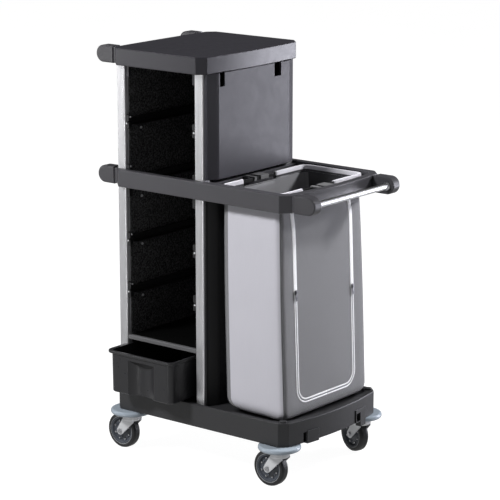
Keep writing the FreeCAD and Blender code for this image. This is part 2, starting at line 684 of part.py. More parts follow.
# ---- build and export ---------------------------------------------------
make_base()
make_posts()
make_belt()
make_deck()
make_arms()
make_panels()
make_shelf()
make_runners()
make_bag()
parts["zip_slider_front"] = make_zip_slider(-ZIP_Y, 686.0)
parts["zip_slider_back"] = make_zip_slider(ZIP_Y, 645.0)
make_bin()
make_casters()

os.makedirs("parts", exist_ok=True)
for node, shape in parts.items():
    solid = shape.copy()
    solid.translate(SHIFT)
    solid.exportStep("parts/" + node + ".step")
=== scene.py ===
import math

import bmesh
import bpy
import numpy as np
from mathutils import Matrix, Vector


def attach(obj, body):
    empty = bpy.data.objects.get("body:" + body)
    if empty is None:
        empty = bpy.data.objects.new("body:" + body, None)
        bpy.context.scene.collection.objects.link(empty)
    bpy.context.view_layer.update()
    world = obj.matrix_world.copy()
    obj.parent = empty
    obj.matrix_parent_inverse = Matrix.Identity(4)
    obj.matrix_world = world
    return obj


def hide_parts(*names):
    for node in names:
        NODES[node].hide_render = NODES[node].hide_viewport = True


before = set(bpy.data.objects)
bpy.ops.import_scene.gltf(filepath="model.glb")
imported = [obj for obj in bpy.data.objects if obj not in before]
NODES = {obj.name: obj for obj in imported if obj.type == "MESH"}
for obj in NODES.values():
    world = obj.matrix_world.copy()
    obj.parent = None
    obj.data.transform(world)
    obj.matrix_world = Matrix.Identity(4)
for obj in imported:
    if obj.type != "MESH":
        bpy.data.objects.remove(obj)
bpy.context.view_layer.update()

# Shapes below are worked out in millimetres about the middle of the cart's base, and brought into
# the row frame by place().
SHIFT = (-6.15, 25.0, 3.5)


def place(points):
    """Millimetres about the base's middle to metres in the row frame."""
    return (np.asarray(points, float) + SHIFT) / 1000.0


# ---- camera, world and light --------------------------------------------
# Pinhole camera fitted to the photograph, in metres; the lens is in mm.
CAMERA_SPOT = (4.89235, -6.0745, 2.6074)
CAMERA_LOOK = (0.01345, 0.0250, 0.7613)
CAMERA_LENS = 160.52


def make_camera():
    data = bpy.data.cameras.new("photo_camera")
    cam = bpy.data.objects.new("photo_camera", data)
    bpy.context.scene.collection.objects.link(cam)
    cam.location = CAMERA_SPOT
    look = Vector(CAMERA_LOOK) - cam.location
    cam.rotation_mode = "QUATERNION"
    cam.rotation_quaternion = look.to_track_quat("-Z", "Y")
    data.sensor_width = 36.0
    data.lens = CAMERA_LENS
    data.clip_start, data.clip_end = 0.1, 200.0
    bpy.context.scene.camera = cam


def area_light(name, spot, target, size, power, colour=(1, 1, 1), glossy=True, diffuse=True):
    """Lamp aimed at a target. It may be left out of reflections or out of diffuse light."""
    data = bpy.data.lights.new(name, "AREA")
    data.shape = "RECTANGLE"
    data.size, data.size_y = size
    data.energy = power
    data.color = colour
    lamp = bpy.data.objects.new(name, data)
    bpy.context.scene.collection.objects.link(lamp)
    lamp.location = spot
    way = Vector(target) - Vector(spot)
    lamp.rotation_mode = "QUATERNION"
    lamp.rotation_quaternion = way.to_track_quat("-Z", "Y")
    lamp.visible_camera = False
    lamp.visible_glossy = glossy
    lamp.visible_diffuse = diffuse


# direction axis, where the fade starts and stops, strength at each of the two
WORLD_FADES = [("Y", -0.2, 0.75, 0.24, 0.06), ("Z", -0.50, -0.10, 0.55, 0.0)]


def make_world():
    """White to the camera; a dim room to everything else, paler to the front and below."""
    world = bpy.data.worlds.new("studio")
    bpy.context.scene.world = world
    world.use_nodes = True
    tree = world.node_tree
    tree.nodes.clear()
    out = tree.nodes.new("ShaderNodeOutputWorld")
    mix = tree.nodes.new("ShaderNodeMixShader")
    path = tree.nodes.new("ShaderNodeLightPath")
    room = tree.nodes.new("ShaderNodeBackground")
    white = tree.nodes.new("ShaderNodeBackground")
    white.inputs["Color"].default_value = (1.0, 1.0, 1.0, 1.0)
    coord = tree.nodes.new("ShaderNodeTexCoord")
    split = tree.nodes.new("ShaderNodeSeparateXYZ")
    tree.links.new(coord.outputs["Generated"], split.inputs[0])
    both = tree.nodes.new("ShaderNodeMath")
    both.operation = "ADD"
    for i, (axis, start, stop, near, far) in enumerate(WORLD_FADES):
        fade = tree.nodes.new("ShaderNodeMapRange")
        fade.interpolation_type = "SMOOTHSTEP"
        fade.inputs["From Min"].default_value = start
        fade.inputs["From Max"].default_value = stop
        fade.inputs["To Min"].default_value = near
        fade.inputs["To Max"].default_value = far
        tree.links.new(split.outputs[axis], fade.inputs["Value"])
        tree.links.new(fade.outputs["Result"], both.inputs[i])
    tree.links.new(both.outputs[0], room.inputs["Strength"])
    tree.links.new(path.outputs["Is Camera Ray"], mix.inputs[0])
    tree.links.new(room.outputs[0], mix.inputs[1])
    tree.links.new(white.outputs[0], mix.inputs[2])
    tree.links.new(mix.outputs[0], out.inputs["Surface"])


make_camera()
scene = bpy.context.scene
scene.view_settings.view_transform = "Standard"

make_world()
area_light("soft_front", (-3.90, -2.80, 1.32), (-0.1, -0.2, 0.9), (2.0, 2.0), 44.0, diffuse=False)
area_light("key_front", (-2.2, -5.0, 5.3), (0.0, 0.0, 0.8), (1.3, 1.3), 600.0, glossy=False)
area_light("soft_back", (1.9, 3.3, 0.9), (0.0, 0.1, 1.1), (1.6, 2.2), 100.0, (0.90, 0.90, 1.0))
area_light("tube_glow", (1.9, 2.9, 3.0), (0.42, 0.0, 1.0), (2.4, 1.8), 7.5, diffuse=False)
area_light("edge_front", (-0.5, -5.2, 0.6), (0.0, 0.0, 0.7), (0.35, 2.6), 40.0, diffuse=False)
area_light("edge_top", (-2.5, -0.9, 3.8), (0.0, 0.0, 0.9), (0.9, 0.9), 12.0, diffuse=False)
area_light("key_side", (2.7, 3.4, 3.7), (0.2, 0.0, 0.8), (0.8, 0.8), 330.0, glossy=False)


# ---- materials ----------------------------------------------------------
EDGE_SAMPLES = 4            # rays for each bevel and nook lookup


class Finish:
    """A principled material with object coordinates, and short calls for its nodes."""

    def __init__(self, name, rough, metallic=0.0, specular=0.5, sheen=0.0):
        self.material = bpy.data.materials.new(name)
        self.material.use_nodes = True
        self.tree = self.material.node_tree
        self.tree.nodes.clear()
        out = self.tree.nodes.new("ShaderNodeOutputMaterial")
        self.shader = self.tree.nodes.new("ShaderNodeBsdfPrincipled")
        self.tree.links.new(self.shader.outputs[0], out.inputs[0])
        self.shader.inputs["Roughness"].default_value = rough
        self.shader.inputs["Metallic"].default_value = metallic
        self.shader.inputs["Specular IOR Level"].default_value = specular
        self.shader.inputs["Sheen Weight"].default_value = sheen
        self.coord = self.node("TexCoord").outputs["Object"]
        self.normal = None

    def node(self, kind, **settings):
        n = self.tree.nodes.new("ShaderNode" + kind)
        for key, value in settings.items():
            setattr(n, key, value)
        return n

    def wire(self, source, target):
        self.tree.links.new(source, target)

    def stretched(self, scale):
        m = self.node("Mapping")
        m.inputs["Scale"].default_value = scale
        self.wire(self.coord, m.inputs["Vector"])
        return m.outputs[0]

    def noise(self, scale, detail=3.0, stretch=None, rough=0.55):
        n = self.node("TexNoise")
        n.inputs["Scale"].default_value = scale
        n.inputs["Detail"].default_value = detail
        n.inputs["Roughness"].default_value = rough
        self.wire(self.stretched(stretch) if stretch else self.coord, n.inputs["Vector"])
        return n.outputs["Fac"]

    def bands(self, axis, per_metre, phase=0.0):
        """Smooth stripes across one axis, from 0 to 1."""
        n = self.node("TexWave", wave_type="BANDS", bands_direction=axis, wave_profile="SIN")
        n.inputs["Scale"].default_value = per_metre * math.pi / 10.0
        n.inputs["Distortion"].default_value = 0.0
        n.inputs["Phase Offset"].default_value = phase
        self.wire(self.coord, n.inputs["Vector"])
        return n.outputs["Fac"]

    def math(self, kind, a, b=0.0):
        n = self.node("Math", operation=kind)
        for value, socket in ((a, n.inputs[0]), (b, n.inputs[1])):
            if isinstance(value, (int, float)):
                socket.default_value = value
            else:
                self.wire(value, socket)
        return n.outputs[0]

    def ramp(self, fac, stops):
        n = self.node("ValToRGB")
        while len(n.color_ramp.elements) < len(stops):
            n.color_ramp.elements.new(0.5)
        for e, (at, colour) in zip(n.color_ramp.elements, stops):
            e.position = at
            e.color = (*colour, 1.0)
        self.wire(fac, n.inputs[0])
        return n.outputs[0]

    def spread(self, fac, low, high, from_low=0.3, from_high=0.7):
        n = self.node("MapRange")
        n.inputs["From Min"].default_value = from_low
        n.inputs["From Max"].default_value = from_high
        n.inputs["To Min"].default_value = low
        n.inputs["To Max"].default_value = high
        self.wire(fac, n.inputs["Value"])
        return n.outputs["Result"]

    def mix(self, fac, a, b):
        n = self.node("Mix", data_type="RGBA")
        self.wire(fac, n.inputs[0])
        for value, socket in ((a, n.inputs[6]), (b, n.inputs[7])):
            if isinstance(value, tuple):
                socket.default_value = (*value, 1.0)
            else:
                self.wire(value, socket)
        return n.outputs[2]

    def bump(self, height, strength, distance):
        n = self.node("Bump")
        n.inputs["Strength"].default_value = strength
        n.inputs["Distance"].default_value = distance
        self.wire(height, n.inputs["Height"])
        if self.normal is not None:
            self.wire(self.normal, n.inputs["Normal"])
        self.normal = n.outputs[0]

    def soft_edges(self, radius):
        n = self.node("Bevel")
        n.samples = EDGE_SAMPLES
        n.inputs["Radius"].default_value = radius
        self.normal = n.outputs[0]

    def edge_rub_and_highlight_mask(self, radius):
        """0 on open faces, rising towards 1 on edges, where the colour is lightened for rubbed wear
        and painted highlight.
        """
        n = self.node("Bevel")
        n.samples = EDGE_SAMPLES
        n.inputs["Radius"].default_value = radius
        flat = self.node("NewGeometry").outputs["Normal"]
        dot = self.node("VectorMath", operation="DOT_PRODUCT")
        self.wire(n.outputs[0], dot.inputs[0])
        self.wire(flat, dot.inputs[1])
        return self.spread(dot.outputs["Value"], 1.0, 0.0, 0.80, 0.995)

    def nooks(self, reach):
        """Ambient occlusion mask: 0 in the open, rising to 1 in slots and corners narrower than the
        reach; it places painted shade.
        """
        n = self.node("AmbientOcclusion")
        n.samples = EDGE_SAMPLES
        n.inputs["Distance"].default_value = reach
        return self.spread(n.outputs["AO"], 1.0, 0.0, 0.25, 0.85)

    def done(self, colour, rough=None):
        self.wire(colour, self.shader.inputs["Base Color"])
        if rough is not None:
            self.wire(rough, self.shader.inputs["Roughness"])
        if self.normal is not None:
            self.wire(self.normal, self.shader.inputs["Normal"])
        return self.material


SWIRL = 0.035               # how far flow marks change a moulding's tone
FLECKS = [(0.42, (0.0020, 0.0020, 0.0021)), (0.68, (0.150, 0.150, 0.155))]
FLECK_SCALE = 150.0


def shade(colour, k):
    return tuple(min(1.0, c * k) for c in colour)


def moulded(name, colour, rough, grain=900.0, edge_rub_and_highlight=1.6, specular=0.5, painted_shade_reach=0.0):
    """Injection moulded plastic: spark-eroded grain, faint flow marks, edges lightened as rubbed
    wear and painted highlight, optional painted shade in nooks.
    """
    f = Finish(name, rough, specular=specular)
    f.soft_edges(0.0016)
    flow = f.noise(7.0, 4.0)
    tone = f.ramp(flow, [(0.3, shade(colour, 1 - SWIRL)), (0.7, shade(colour, 1 + SWIRL))])
    # edges lightened: partly rubbed wear, partly a painted highlight line along rims and chamfers
    tone = f.mix(f.edge_rub_and_highlight_mask(0.002), tone, shade(colour, edge_rub_and_highlight))
    # painted shade: the colour darkens in slots and corners found by ambient occlusion, where shade
    # falls
    if painted_shade_reach:
        tone = f.mix(f.nooks(painted_shade_reach), tone, shade(colour, 0.05))
    scuff = f.noise(38.0, 6.0)
    level = f.spread(scuff, rough - 0.03, rough + 0.05)
    f.bump(f.noise(grain, 2.0), 0.35, 0.00025)
    return f.done(tone, level)


def mottled(name, rough=0.6, plain=None):
    """Coarse textured lining that catches light in flecks; faces towards +Y may be plain."""
    f = Finish(name, rough, specular=0.35)
    f.soft_edges(0.001)
    fleck = f.noise(FLECK_SCALE, 3.0, rough=0.7)
    tone = f.ramp(fleck, FLECKS)
    if plain:
        split = f.node("SeparateXYZ")
        f.wire(f.node("NewGeometry").outputs["Normal"], split.inputs[0])
        flow = f.ramp(f.noise(7.0, 4.0), [(0.3, shade(plain, 0.94)), (0.7, shade(plain, 1.06))])
        tone = f.mix(f.math("GREATER_THAN", split.outputs["Y"], 0.5), tone, flow)
    f.bump(fleck, 0.8, 0.0012)
    f.bump(f.noise(FLECK_SCALE * 5, 2.0), 0.3, 0.0004)
    return f.done(tone, f.spread(fleck, rough + 0.1, rough - 0.15))


def drawn_metal(name, colour, rough, streak, spread=0.08, tarnish=0.06, metallic=1.0, grain=0.18):
    """Metal with fine marks along the way it was drawn."""
    f = Finish(name, rough, metallic=metallic)
    f.soft_edges(0.0008)
    marks = f.noise(1.0, 4.0, stretch=streak)
    tone = f.ramp(f.noise(9.0, 3.0), [(0.3, shade(colour, 1 - tarnish)), (0.7, colour)])
    f.bump(marks, grain, 0.0002)
    return f.done(tone, f.spread(marks, rough - spread, rough + spread))


def rubber(name, colour, rough, dust):
    """Fine grained rubber with paler dust on it."""
    f = Finish(name, rough, specular=0.45)
    f.soft_edges(0.001)
    tone = f.ramp(f.noise(24.0, 5.0), [(0.35, colour), (0.75, shade(colour, dust))])
    f.bump(f.noise(700.0, 2.0), 0.25, 0.0003)
    return f.done(tone, f.spread(f.noise(60.0, 4.0), rough - 0.06, rough + 0.12))


def woven(name, colour, axis, pitch, contrast, depth, sheen=0.25, slub=0.06):
    """Plain weave, pitch in mm, in the upright plane that holds the axis, X or Y."""
    rough = 0.62
    f = Finish(name, rough, sheen=sheen, specular=0.4)
    f.shader.inputs["Sheen Roughness"].default_value = 0.4
    warp = f.bands(axis, 1000.0 / pitch)
    weft = f.bands("Z", 1000.0 / pitch, 1.3)
    knot = f.math("ABSOLUTE", f.math("SUBTRACT", warp, weft))
    thread = f.noise(1.0, 3.0, stretch=(420.0, 420.0, 16.0))
    tone = f.ramp(knot, [(0.0, shade(colour, 1 - contrast)), (1.0, shade(colour, 1 + contrast))])
    cloudy = f.spread(f.noise(5.0, 3.0), 0.0, 1.0)
    tone = f.mix(f.math("MULTIPLY", cloudy, slub * 4), tone, shade(colour, 1 - 2.2 * slub))
    lit = f.math("MULTIPLY", f.spread(thread, 0.0, 1.0), slub * 2)
    tone = f.mix(lit, tone, shade(colour, 1.25))
    f.bump(f.noise(14.0, 2.0), 0.25, 0.004)
    f.bump(knot, depth, 0.0006)
    return f.done(tone, f.spread(knot, rough + 0.08, rough - 0.08, 0.0, 1.0))


# edge factors of 2.6 to 5 paint highlight lines on the edges beyond rubbed wear; base and belt also
# get painted shade in their nooks
BASE = moulded("base_plastic", (0.026, 0.026, 0.028), rough=0.42, edge_rub_and_highlight=4.0, painted_shade_reach=0.018)
BELT = moulded("belt_plastic", (0.048, 0.047, 0.053), rough=0.38, edge_rub_and_highlight=2.6, painted_shade_reach=0.012)
ARMS = moulded("arm_plastic", (0.042, 0.041, 0.046), rough=0.36, edge_rub_and_highlight=2.6)
DECK = moulded("deck_plastic", (0.025, 0.024, 0.030), rough=0.31, edge_rub_and_highlight=3.0)
GREY_PANEL = moulded("panel_grey", (0.040, 0.039, 0.047), rough=0.46, specular=0.4)
BLACK_PANEL = moulded("panel_black", (0.008, 0.008, 0.009), rough=0.50)
SHELF = moulded("shelf_black", (0.002, 0.002, 0.002), rough=0.70, specular=0.1)
TRIM = moulded("trim_grey", (0.11, 0.11, 0.115), rough=0.40)
RUNNER = moulded("runner_black", (0.010, 0.010, 0.011), rough=0.40)
# pale grey paints the glints on the runner screw heads
SCREW_PAINTED_GLINT = moulded("screw_grey", (0.50, 0.50, 0.52), rough=0.35)
LINER = mottled("liner_black")
BACK = mottled("back_panel_black", plain=(0.012, 0.012, 0.013))
BIN = moulded("bin_plastic", (0.021, 0.021, 0.023), rough=0.30, grain=600.0, edge_rub_and_highlight=5.0)
POST = drawn_metal("post_aluminium", (0.76, 0.76, 0.78), 0.30, (900.0, 900.0, 2.0), metallic=0.75,
                   grain=0.015, tarnish=0.02, spread=0.03)
CHROME = drawn_metal("tube_chrome", (0.80, 0.80, 0.82), 0.33, (700.0, 3.0, 700.0), grain=0.08)
FRAME = moulded("frame_black", (0.012, 0.012, 0.012), rough=0.35, grain=400.0)
HOOK = moulded("hook_grey", (0.14, 0.14, 0.145), rough=0.40)
ZIP_METAL = drawn_metal("zip_metal", (0.20, 0.20, 0.21), 0.34, (300.0, 300.0, 300.0))
BUMPER = rubber("bumper_rubber", (0.29, 0.335, 0.385), 0.16, 1.1)
FORK = drawn_metal("fork_zinc", (0.74, 0.75, 0.77), 0.38, (500.0, 500.0, 9.0), metallic=0.45,
                   grain=0.12, tarnish=0.12)
AXLE = drawn_metal("axle_steel", (0.55, 0.55, 0.57), 0.28, (300.0, 900.0, 300.0))
TYRE = rubber("tyre_rubber", (0.010, 0.010, 0.011), 0.42, 1.6)
HUB = moulded("hub_plastic", (0.050, 0.056, 0.068), rough=0.34, edge_rub_and_highlight=3.0)

FINISHES = [
    ("base_tray", BASE), ("post_", POST), ("belt_ring", BELT), ("arm_", ARMS),
    ("top_deck", DECK), ("tube_", CHROME), ("push_tube", CHROME),
    ("panel_right_upper", GREY_PANEL), ("panel_", BLACK_PANEL), ("liner_", LINER),
    ("back_panel", BACK), ("bottom_shelf", SHELF), ("shelf_trim", TRIM),
    ("runner_screws", SCREW_PAINTED_GLINT), ("runner_", RUNNER), ("bag_frame", FRAME),
    ("bag_hooks", HOOK), ("zip_slider", ZIP_METAL), ("bin", BIN),
]
CASTER_FINISHES = {"bumper": BUMPER, "fork": FORK, "axle": AXLE, "tyre": TYRE, "hub": HUB}


def finish_of(name):
    if name.startswith("caster_"):
        return CASTER_FINISHES[name.rsplit("_", 1)[1]]
    for start, material in FINISHES:
        if name.startswith(start):
            return material
    return None


for node_name, node in NODES.items():
    material = finish_of(node_name)
    if material is not None:
        node.data.materials.clear()
        node.data.materials.append(material)


# ---- mesh helpers -------------------------------------------------------
def new_piece(name, verts, faces, materials, body, smooth=True, kinds=None):
    """Object from points in mm; kinds gives each face the number of its material."""
    mesh = bpy.data.meshes.new(name)
    mesh.from_pydata([tuple(v) for v in place(verts)], [], faces)
    mesh.validate()
    piece = bpy.data.objects.new(name, mesh)
    scene.collection.objects.link(piece)
    for m in materials:
        mesh.materials.append(m)
    if kinds is not None:
        mesh.polygons.foreach_set("material_index", kinds)
    if smooth:
        mesh.polygons.foreach_set("use_smooth", [True] * len(mesh.polygons))
    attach(piece, body)
    return piece


def fix_normals(piece):
    bm = bmesh.new()
    bm.from_mesh(piece.data)
    bmesh.ops.recalc_face_normals(bm, faces=bm.faces)
    bm.to_mesh(piece.data)
    bm.free()


def side_axes(t):
    """Two directions square to a line in space and to each other."""
    ref = np.array((0.0, 0.0, 1.0)) if abs(t[2]) < 0.9 else np.array((1.0, 0.0, 0.0))
    a = np.cross(t, ref)
    a /= np.linalg.norm(a)
    return a, np.cross(t, a)


def across_of(path, i):
    """Direction square to a 2-D line at its point i."""
    ya, za = path[max(0, i - 1)]
    yb, zb = path[min(len(path) - 1, i + 1)]
    size = math.hypot(yb - ya, zb - za)
    return -(zb - za) / size, (yb - ya) / size


def tube_faces(rings, count, first=0):
    """Quads between successive closed rings of count points."""
    faces = []
    for r in range(rings - 1):
        for c in range(count):
            a = first + r * count + c
            b = first + r * count + (c + 1) % count
            faces.append((a, b, b + count, a + count))
    return faces


# ---- laundry bag --------------------------------------------------------
BAG_BOTTOM = 232.0
BAG_TOP = 1023.0
GAP_TOP = 1017.0            # the end walls stop here between the two halves of the hem
GAP = (-122.0, 60.0)        # from y to y
FLAT = 210.5                # half the straight part of an end wall at its top
CORNER = 26.0
TUCK_LEFT = 52.0            # rounding of the bottom edge on the tower side
TUCK = 38.0                 # and elsewhere
WALL_TOP = 1025.0           # height that the walls' slopes are measured from
HANDLE_SIDE, HANDLE_SLOPE, HANDLE_FROM = 342.0, 0.0382, 960.0
TOWER_SIDE, TOWER_SLOPE = 84.0, 0.028
HALF_TOP, HALF_SWELL, SWELL_DEPTH = 236.5, 10.5, 520.0
OUTS = [(0, -1), (1, 0), (0, 1), (-1, 0)]    # outward ways of sides 0 to 3
CLOTH = 0.0018              # thickness in metres


def bag_x1(z):
    """Handle side of the bag."""
    return HANDLE_SIDE + HANDLE_SLOPE * (HANDLE_FROM - z)


def bag_x0(z):
    """Tower side of the bag."""
    return TOWER_SIDE + TOWER_SLOPE * (WALL_TOP - z)


def bag_half(z):
    """Half the bag's width across the cart."""
    t = max(0.0, min(1.0, (WALL_TOP - z) / SWELL_DEPTH))
    return HALF_TOP + HALF_SWELL * math.sin(t * math.pi / 2)


def leftness(col):
    """0 on the handle side, 1 on the tower side, from a station round the bag."""
    side, along, turn = col
    if side == 0:
        return (1 - along) / 2 if turn is None else 0.0
    if side == 2:
        return (1 + along) / 2 if turn is None else 1.0
    return 0.0 if side == 1 else 1.0


def tuck(z, radius):
    """How far the wall has turned in below the bottom edge's rounding."""
    t = (z - BAG_BOTTOM) / radius
    if t >= 1:
        return 0.0
    return 0.85 * radius * (1 - math.sqrt(max(0.0, 1 - (1 - t) ** 2)))


def bell(x, middle, width):
    return math.exp(-((x - middle) / width) ** 2)


def sag(side, along, z):
    """Outward drape of a wall in mm. along runs from -1 to 1 between its corners."""
    free = (1 - along * along) ** 0.8 if abs(along) < 1 else 0.0
    hold = free
    if side == 1:           # flat under the zip
        hold = max(0.0, 1 - (along / 0.70) ** 2)
    belly = 3.2 * bell(z, 430, 190) * hold
    pull = 0.8 * math.sin(9.0 * along + 0.9 * side) * bell(z, 1000, 120) * hold
    crease = 0.9 * math.sin(5.0 * along + z / 75.0 + side) * bell(z, 300, 90) * hold
    waist = {1: -8.0, 3: -3.0}.get(side, -2.0) * bell(z, 985, 55) * min(1.0, free * 3 + 0.35)
    return belly + pull + crease + waist


def bag_columns():
    """Stations round the bag: (side, share along it, turn of the corner or None)."""
    cols = []
    along_y = [-1.0, -0.88, -0.75, GAP[0] / FLAT, -0.45, -0.3, -0.15, 0.0, 0.15,
               GAP[1] / FLAT, 0.45, 0.6, 0.75, 0.88, 1.0]
    along_x = [-1 + i / 6 for i in range(13)]
    for side in range(4):
        spread = along_x if side in (0, 2) else along_y
        if side == 3:
            spread = [-a for a in reversed(along_y)]
        for a in spread:
            cols.append((side, a, None))
        for k in range(1, 6):
            cols.append((side, 1.0, k / 6))
    return cols


def bag_point(col, z):
    """Point on the bag's outer surface, at a station round it and a height."""
    side, along, turn = col
    left, right = tuck(z, TUCK_LEFT), tuck(z, TUCK)
    x0, x1 = bag_x0(z) + left, bag_x1(z) - right
    low = tuck(z, TUCK + (TUCK_LEFT - TUCK) * leftness(col) ** 0.4)
    h = bag_half(z) - low
    r = CORNER + 0.6 * low
    mid_x = (x0 + x1) / 2
    flat_x, flat_y = (x1 - x0) / 2 - r, h - r
    out = OUTS[side]
    go = (-out[1], out[0])
    reach = flat_x if side in (0, 2) else flat_y
    far = h if side in (0, 2) else (x1 - x0) / 2
    if turn is None:
        d = far + sag(side, along, z)
        x = mid_x + out[0] * d + go[0] * reach * along
        y = out[1] * d + go[1] * reach * along
        return (x, y, z)
    ang = turn * math.pi / 2
    cx = mid_x + out[0] * (far - r) + go[0] * reach
    cy = out[1] * (far - r) + go[1] * reach
    d0, d1 = sag(side, 1.0, z), sag((side + 1) % 4, -1.0, z)
    rr = r + d0 * (1 - turn) + d1 * turn
    return (cx + rr * (out[0] * math.cos(ang) + go[0] * math.sin(ang)),
            cy + rr * (out[1] * math.cos(ang) + go[1] * math.sin(ang)), z)


CLOTH_LIGHT = woven("bag_cloth_light", (0.47, 0.465, 0.51), "X", 3.0, 0.05, 0.30, sheen=0.15)
CLOTH_GREY = woven("bag_cloth_grey", (0.165, 0.165, 0.175), "Y", 4.2, 0.17, 0.7, sheen=0.35)
LINING = woven("bag_lining", (0.20, 0.20, 0.212), "Y", 3.0, 0.04, 0.2, sheen=0.10)
# shaded copy of the lining: painted shade inside the light walls and under the hem's white band
LINING_PAINTED_SHADE = woven("bag_lining_painted_shade", (0.055, 0.055, 0.06), "X", 3.0, 0.05, 0.2, sheen=0.1)
TAPE_WHITE = woven("bag_tape_white", (0.88, 0.88, 0.90), "X", 1.4, 0.03, 0.5, slub=0.02)
TAPE_BED = woven("bag_tape_bed", (0.36, 0.36, 0.39), "X", 1.4, 0.08, 0.5, slub=0.03)
TAPE_GREY = woven("bag_tape_grey", (0.16, 0.16, 0.17), "X", 1.4, 0.08, 0.5, slub=0.03)
HEM_CLOTH = woven("bag_hem_cloth", (0.66, 0.65, 0.70), "X", 2.0, 0.04, 0.4, slub=0.03)
THREAD = woven("bag_thread", (0.42, 0.42, 0.45), "X", 0.8, 0.08, 0.3)
COIL = moulded("zip_coil", (0.24, 0.24, 0.26), rough=0.35, grain=2000.0)


def is_light(col):
    """Whether a column of faces is of the light cloth, which wraps a little round two corners."""
    side, _, turn = col
    if turn is None:
        return side in (0, 2)
    return (side == 0 and turn < 0.45) or (side == 1 and turn > 0.45)


def make_bag_shell():
    """Outer cloth, with a bottom and the gap in both end walls, thickened inwards."""
    cols = bag_columns()
    count = len(cols)
    zs = [BAG_BOTTOM + TUCK_LEFT * (1 - math.cos(math.pi / 2 * i / 9)) for i in range(10)]
    zs += list(np.linspace(BAG_BOTTOM + TUCK_LEFT, GAP_TOP, 46))[1:]
    zs += [BAG_TOP]
    rows = []
    middle = (bag_x0(BAG_BOTTOM) + bag_x1(BAG_BOTTOM)) / 2
    foot = [bag_point(c, BAG_BOTTOM) for c in cols]
    for k in (0.04, 0.3, 0.6, 0.85):
        rows.append([(middle + (x - middle) * k, y * k, BAG_BOTTOM + 0.2) for x, y, _ in foot])
    rows += [[bag_point(c, z) for c in cols] for z in zs]
    verts = [p for row in rows for p in row]
    faces, kinds = [], []
    for i, face in enumerate(tube_faces(len(rows), count)):
        row, col = divmod(i, count)
        side, along, turn = cols[col]
        if row == len(rows) - 2 and side in (1, 3) and turn is None and along < 0.99:
            mid = (along + cols[(col + 1) % count][1]) / 2 * (1 if side == 1 else -1)
            if GAP[0] / FLAT < mid < GAP[1] / FLAT:
                continue
        faces.append(face)
        kinds.append(0 if is_light(cols[col]) else 1)
    faces.append(tuple(reversed(range(count))))
    kinds.append(1)
    piece = new_piece("bag_shell", verts, faces, [CLOTH_LIGHT, CLOTH_GREY, LINING_PAINTED_SHADE, LINING],
                      "bag", kinds=kinds)
    thick = piece.modifiers.new("cloth", "SOLIDIFY")
    thick.thickness = CLOTH
    thick.offset = -1.0
    # inner faces of the light walls take the shaded lining copy, painted shade inside the bag
    thick.material_offset = 2
    bake(piece)
    return piece


def bake(piece):
    """Apply a piece's modifiers."""
    dg = bpy.context.evaluated_depsgraph_get()
    made = bpy.data.meshes.new_from_object(piece.evaluated_get(dg), depsgraph=dg)
    piece.modifiers.clear()
    piece.data = made


def face_point(y, z, lift):
    """Point on the end panel's outer face, lifted off it."""
    z_ = max(z, BAG_BOTTOM + 1)
    reach = bag_half(z_) - CORNER
    x = bag_x1(z_) + sag(1, y / reach, z_)
    return (x + lift, y, z)


ZIP_Y = 165.0
ZIP_TOP = 985.0
ZIP_BOTTOM = 290.0
ZIP_CORNER = 50.0
ZIP_STEP = 6.0
SLIDERS = {"front": (-ZIP_Y, 686.0), "back": (ZIP_Y, 645.0)}


def zip_path(y0, z_from, z_to=None):
    """Line of the zip on the end panel, from z_from down to z_to, or on along the bottom."""
    pts = []
    side = 1 if y0 > 0 else -1
    stop = ZIP_BOTTOM + ZIP_CORNER if z_to is None else z_to
    n = max(2, int((z_from - stop) / ZIP_STEP))
    for i in range(n + 1):
        pts.append((y0, z_from + (stop - z_from) * i / n))
    if z_to is None:
        for i in range(1, 9):
            a = math.pi / 2 * i / 8
            y = y0 - side * ZIP_CORNER * (1 - math.cos(a))
            pts.append((y, stop - ZIP_CORNER * math.sin(a)))
        n = int((abs(y0) - ZIP_CORNER) / ZIP_STEP)
        for i in range(1, n + 1):
            pts.append(((y0 - side * ZIP_CORNER) * (1 - i / n), ZIP_BOTTOM))
    return pts


def ribbon(name, path, profile, material):
    """Sweep a profile of (across, lift) points along a line drawn on the end panel."""
    verts = []
    count = len(profile)
    for i, (y, z) in enumerate(path):
        ny, nz = across_of(path, i)
        for across, lift in profile:
            verts.append(face_point(y + ny * across, z + nz * across, lift))
    faces = tube_faces(len(path), count)
    faces.append(tuple(range(count)))
    faces.append(tuple(reversed(range((len(path) - 1) * count, len(path) * count))))
    fix_normals(new_piece(name, verts, faces, [material], "bag"))


def crowned(half, height):
    """Closed profile of a strip with a rounded top."""
    base, steps = -0.6, 8
    pts = [(-half, base)]
    for i in range(steps + 1):
        a = math.pi * i / steps
        pts.append((-half * math.cos(a), height * math.sin(a) ** 0.6 + 0.1))
    pts.append((half, base))
    return pts


def shifted(profile, by):
    return [(a + by, h) for a, h in profile]


def make_zips():
    """Light tape above each slider, and below it two edges with closed teeth between them."""
    for where, (y, z) in SLIDERS.items():
        ribbon("zip_tape_" + where, zip_path(y, ZIP_TOP, z), crowned(10.0, 1.2), TAPE_WHITE)
        lower = zip_path(y, z)
        ribbon("zip_bed_" + where, lower, crowned(8.2, 0.5), TAPE_BED)
        ribbon("zip_edge_in_" + where, lower, shifted(crowned(2.9, 1.3), 5.4), TAPE_WHITE)
        ribbon("zip_edge_out_" + where, lower, shifted(crowned(2.9, 1.3), -5.4), TAPE_WHITE)
        make_coil("zip_coil_" + where, lower)


TOOTH_PITCH = 3.0
